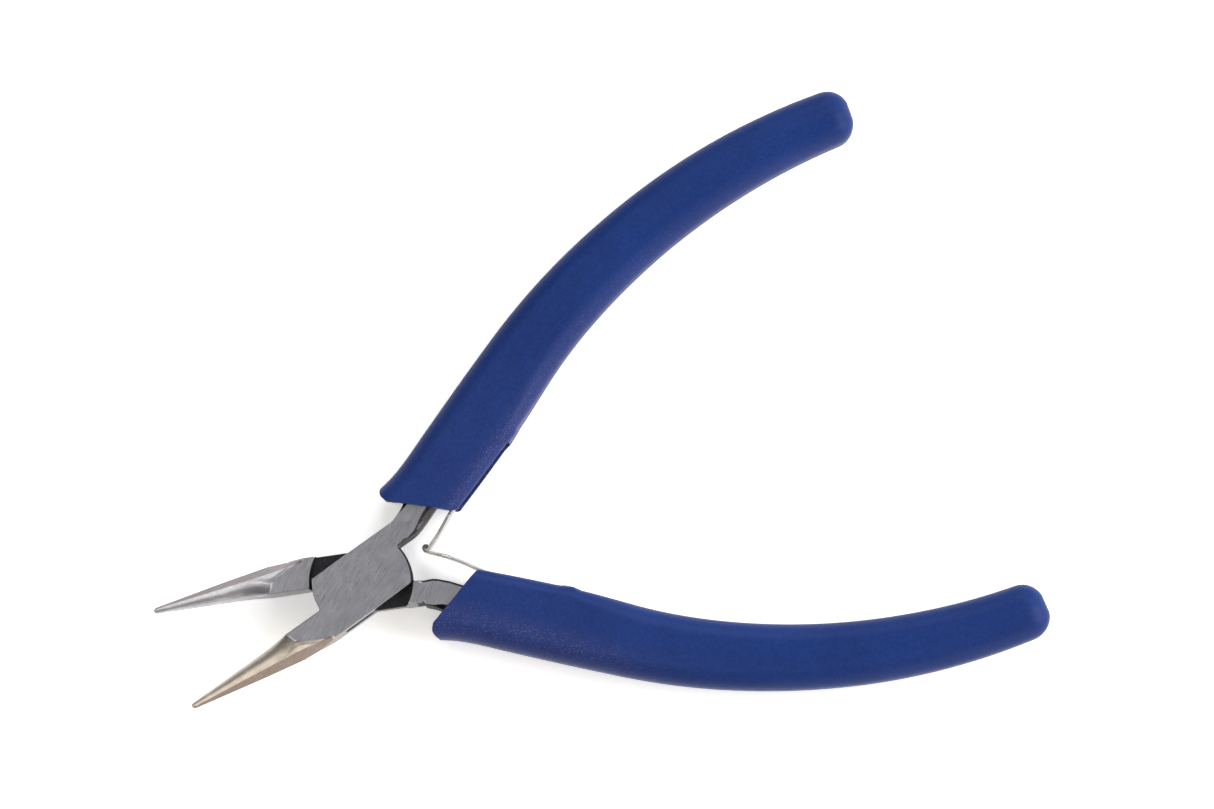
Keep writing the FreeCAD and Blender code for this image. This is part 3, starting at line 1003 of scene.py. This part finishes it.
def steel_colour(tree, grain, cone, painted_jaw_reflection, scale):
    """Brushed grey, tinted on the jaws as painted reflection, browner where partly oxidised and where shade
    is painted, black where unground and where the rivets' shade is painted.
    """
    low = tuple(c * 0.80 for c in STEEL_TONE)
    high = tuple(c * 1.24 for c in STEEL_TONE)
    streak = ramp(tree, grain, [(0.32, low), (0.5, STEEL_TONE), (0.68, high)])
    broad = noise(tree, 330.0, 4.0, 0.6)
    patch = ramp(tree, broad, [(0.3, (0.86, 0.85, 0.84)), (0.7, (1.08, 1.08, 1.08))])
    ground = mix(tree, 1.0, streak.outputs[0], patch.outputs[0], "MULTIPLY")
    # Painted reflection: the round jaws, and the walls that share their mask, are tinted lighter, gold on
    # the box jaw.
    ground = mix(tree, cone, ground, painted_jaw_reflection, "MULTIPLY")
    # Brown where the dark mask is low: partly oxidised steel at the strips' edges, and the painted shade on
    # the nose's facets and the walls.
    part_dark = ramp(tree, attribute(tree, "dark"), [(0.0, (0, 0, 0)), (0.3, (1, 1, 1))])
    ground = mix(tree, part_dark.outputs[0], ground, (0.43, 0.38, 0.355), "MULTIPLY")
    black = [(0.36, (0.005, 0.005, 0.007)), (0.6, (0.011, 0.011, 0.014)), (0.76, (0.05, 0.048, 0.046))]
    # Black for oxide, also used as the painted shade that covers the spring rivets.
    black_oxide_and_shade = ramp(tree, noise(tree, 3000.0, 3.0, 0.6), black)
    return mix(tree, scale, ground, black_oxide_and_shade.outputs[0])


def steel_material(name, face_degrees, jaw_degrees, painted_jaw_reflection):
    """Ground and finely brushed steel, with black oxide where the surface is unground, and the painted
    reflection and painted shade that its masks call for.
    """
    mat, tree, shader = material(name)
    links = tree.links
    cone = attribute(tree, "cone")
    grain = node(tree, "ShaderNodeMix", data_type="FLOAT")
    links.new(cone, grain.inputs["Factor"])
    links.new(streaks(tree, face_degrees, 500, 14000), grain.inputs[2])
    links.new(streaks(tree, jaw_degrees, 900, 7000), grain.inputs[3])
    grain = grain.outputs[0]
    scale = ramp(tree, attribute(tree, "dark"), [(0.4, (0, 0, 0)), (0.85, (1, 1, 1))]).outputs[0]
    links.new(steel_colour(tree, grain, cone, painted_jaw_reflection, scale), shader.inputs["Base Color"])
    links.new(scaled(tree, scale, -0.9, 1.0), shader.inputs["Metallic"])
    rough = remap(tree, grain, 0.3, 0.7, 0.26, 0.35)
    rough = scaled(tree, cone, 0.09, rough)
    links.new(scaled(tree, scale, 0.24, rough), shader.inputs["Roughness"])
    shader.inputs["Specular IOR Level"].default_value = 0.25
    scratches = bump(tree, grain, 0.4, 0.00001)
    pits = bump(tree, noise(tree, 3000.0, 3.0, 0.6), 0.35, 0.00002, scratches)
    links.new(pits, shader.inputs["Normal"])
    return mat


def sleeve_material():
    """Satin blue PVC with a fine pebble, and pale dust rubbed into it."""
    mat, tree, shader = material("blue_sleeve")
    links = tree.links
    cloud = noise(tree, 75.0, 4.0, 0.6)
    fine = noise(tree, 2100.0, 3.0, 0.65)
    specks = noise(tree, 5200.0, 2.0, 0.6)
    base = ramp(tree, cloud, [(0.3, (0.0042, 0.0215, 0.125)), (0.7, (0.0056, 0.028, 0.152))])
    pebble = ramp(tree, fine, [(0.32, (0.80, 0.82, 0.84)), (0.68, (1.16, 1.14, 1.12))])
    plastic = mix(tree, 1.0, base.outputs[0], pebble.outputs[0], "MULTIPLY")
    dust = attribute(tree, "dust")
    over = node(tree, "ShaderNodeMath", operation="SUBTRACT")
    links.new(specks, over.inputs[0])
    links.new(remap(tree, dust, 0.0, 1.0, 0.74, 0.56), over.inputs[1])
    cover = node(tree, "ShaderNodeMath", operation="MAXIMUM")
    links.new(remap(tree, over.outputs[0], 0.0, 0.12, 0.0, 0.6), cover.inputs[0])
    links.new(scaled(tree, dust, 0.07, 0.0), cover.inputs[1])
    dusted = mix(tree, cover.outputs[0], plastic, (0.15, 0.12, 0.2))
    links.new(dusted, shader.inputs["Base Color"])
    links.new(remap(tree, fine, 0.3, 0.7, 0.40, 0.54), shader.inputs["Roughness"])
    shader.inputs["Specular IOR Level"].default_value = 0.14
    links.new(bump(tree, fine, 0.4, 0.00006), shader.inputs["Normal"])
    return mat


def spring_material():
    """Bright rolled strip with lengthwise lines, brown where the dark mask says so."""
    mat, tree, shader = material("spring_strip")
    links = tree.links
    stretch = node(tree, "ShaderNodeMapping")
    stretch.inputs["Scale"].default_value = (500, 500, 6500)
    links.new(node(tree, "ShaderNodeTexCoord").outputs["Object"], stretch.inputs[0])
    lines = noise(tree, 1.0, 3.0, 0.6, stretch.outputs[0])
    bright = ramp(tree, lines, [(0.3, (0.40, 0.38, 0.365)), (0.7, (0.62, 0.605, 0.59))])
    # Dark brown where the mask says: painted shade on the leaf's root in the slit, and the darker rolled
    # end of the box leaf.
    darkened_strip = mix(tree, attribute(tree, "dark"), bright.outputs[0], (0.055, 0.045, 0.04))
    links.new(darkened_strip, shader.inputs["Base Color"])
    shader.inputs["Metallic"].default_value = 1.0
    links.new(remap(tree, lines, 0.3, 0.7, 0.22, 0.36), shader.inputs["Roughness"])
    links.new(bump(tree, lines, 0.3, 0.00001), shader.inputs["Normal"])
    return mat


def floor_material():
    """Matt near-white, faintly uneven, and lit a little from itself so that shadows stay pale."""
    mat, tree, shader = material("pale_floor")
    cloud = noise(tree, 60.0, 2.0, 0.5)
    colour = ramp(tree, cloud, [(0.3, (0.94, 0.94, 0.94)), (0.7, (0.96, 0.96, 0.96))])
    tree.links.new(colour.outputs[0], shader.inputs["Base Color"])
    shader.inputs["Roughness"].default_value = 0.9
    tree.links.new(colour.outputs[0], shader.inputs["Emission Color"])
    shader.inputs["Emission Strength"].default_value = 0.42
    return mat


def dress(obj, mat):
    """Gives the object one material."""
    obj.data.materials.clear()
    obj.data.materials.append(mat)


# ---------------------------------------------------------------------- pieces
FACE_GRAIN = {"box": 38, "tongue": 48}
# The jaw tints are painted reflection: warm gold on the box jaw, a lighter grey on the tongue jaw.
brushed = {
    "box": steel_material("brushed_steel_box", FACE_GRAIN["box"], HALF_OPEN, (1.70, 1.52, 1.22)),
    "tongue": steel_material("brushed_steel_tongue", FACE_GRAIN["tongue"], -HALF_OPEN, (1.62, 1.62, 1.60)),
}
pin_steel = steel_material("pin_steel", FACE_GRAIN["box"], FACE_GRAIN["box"], (1.0, 1.0, 1.0))
sleeve_blue = sleeve_material()
spring_strip = spring_material()

for side in ("box", "tongue"):
    forging = steel_half(side)
    dress(forging, brushed[side])
    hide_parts(side + "_half")
    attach(forging, side + "_half")

for side in ("box", "tongue"):
    sleeve = sleeve_mesh(side)
    dress(sleeve, sleeve_blue)
    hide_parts(side + "_handle_sleeve")
    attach(sleeve, side + "_half")
    web = mouth_web(side)
    dress(web, sleeve_blue)
    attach(web, side + "_half")

for side, leaf in (("box", box_leaf()), ("tongue", tongue_leaf())):
    dress(leaf, spring_strip)
    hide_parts(side + "_leaf_spring")
    start, end = leaf_bend_points(side)
    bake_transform(leaf)

for side in ("box", "tongue"):
    rivet = rivet_mesh(side)
    dress(rivet, pin_steel)
    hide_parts(side + "_spring_rivet")
    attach(rivet, side + "_half")

dress(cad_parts["joint_pin"], pin_steel)

# ----------------------------------------------------------- floor and light
# The picture's right and up directions on the floor
RIGHT = Vector((-0.928, 0.372, 0)).normalized()
UP = Vector((-0.372, -0.928, 0)).normalized()
ROLL = 0.0036
RIGHT, UP = RIGHT * math.cos(ROLL) - UP * math.sin(ROLL), RIGHT * math.sin(ROLL) + UP * math.cos(ROLL)

FLOOR_Z = -0.00119
FLOOR_HALF = 1.2
corners = [(x * FLOOR_HALF, y * FLOOR_HALF, FLOOR_Z) for x, y in ((-1, -1), (1, -1), (1, 1), (-1, 1))]
floor_mesh = bpy.data.meshes.new("floor")
floor_mesh.from_pydata(corners, [], [(0, 1, 2, 3)])
floor = link("floor", floor_mesh)
dress(floor, floor_material())

centre = Vector((-0.04, -0.01, 0))


def softbox(name, direction, long_axis, size, radiance, colour):
    """Rectangular soft light one metre away.

    direction is (right, up, out of the floor); long_axis is (right, up).
    """
    way = (RIGHT * direction[0] + UP * direction[1] + Vector((0, 0, direction[2]))).normalized()
    length = RIGHT * long_axis[0] + UP * long_axis[1]
    length = (length - way * length.dot(way)).normalized()
    light = bpy.data.lights.new(name, "AREA")
    light.shape = "RECTANGLE"
    light.size, light.size_y = size
    light.energy = radiance * math.pi * size[0] * size[1]
    light.color = colour
    obj = link(name, light)
    obj.rotation_mode = "QUATERNION"
    obj.rotation_quaternion = Matrix((length.cross(way), length, way)).transposed().to_quaternion()
    obj.location = centre + way


softbox("strip", (-0.37, -0.01, 0.93), (0.64, -0.77), (0.16, 1.10), 4.4, (1.0, 0.93, 0.82))
softbox("far_side", (0.10, 0.74, 0.66), (1.0, 0.0), (0.75, 0.40), 4.2, (0.95, 0.97, 1.0))
softbox("right_side", (0.86, 0.05, 0.52), (0.0, 1.0), (0.80, 0.80), 5.0, (1.0, 1.0, 1.0))
softbox("warm_low", (0.45, -0.86, 0.30), (0.86, 0.45), (0.30, 0.75), 3.6, (1.0, 0.82, 0.58))

# The world is brighter on the picture's right than on its left
world = bpy.data.worlds.new("studio")
bpy.context.scene.world = world
world.use_nodes = True
sky = world.node_tree
toward = node(sky, "ShaderNodeVectorMath", operation="DOT_PRODUCT")
toward.inputs[1].default_value = tuple(RIGHT * 0.9 + UP * 0.3)
sky.links.new(node(sky, "ShaderNodeTexCoord").outputs["Generated"], toward.inputs[0])
background = sky.nodes["Background"]
background.inputs["Color"].default_value = (0.96, 0.975, 1.0, 1)
strength = remap(sky, toward.outputs["Value"], -0.75, 0.75, 0.11, 0.76)
sky.links.new(strength, background.inputs["Strength"])

# ---------------------------------------------------------------------- camera
DISTANCE = 0.9
VIEW_WIDTH = 0.18
SENSOR = 36
tilt = math.radians(7.0)
target = Vector((-0.0435, -0.0111, 0.0032)) - UP * 0.000127 + RIGHT * 0.000028
back = (Vector((0, 0, 1)) * math.cos(tilt) - UP * math.sin(tilt) + RIGHT * 0.012).normalized()
across = UP.cross(back).normalized()
camera = link("camera", bpy.data.cameras.new("camera"))
camera.location = target + back * DISTANCE
camera.rotation_mode = "QUATERNION"
camera.rotation_quaternion = Matrix((across, back.cross(across), back)).transposed().to_quaternion()
camera.data.sensor_width = SENSOR
camera.data.lens = SENSOR * DISTANCE / VIEW_WIDTH
bpy.context.scene.camera = camera
bpy.context.scene.view_settings.view_transform = "Standard"
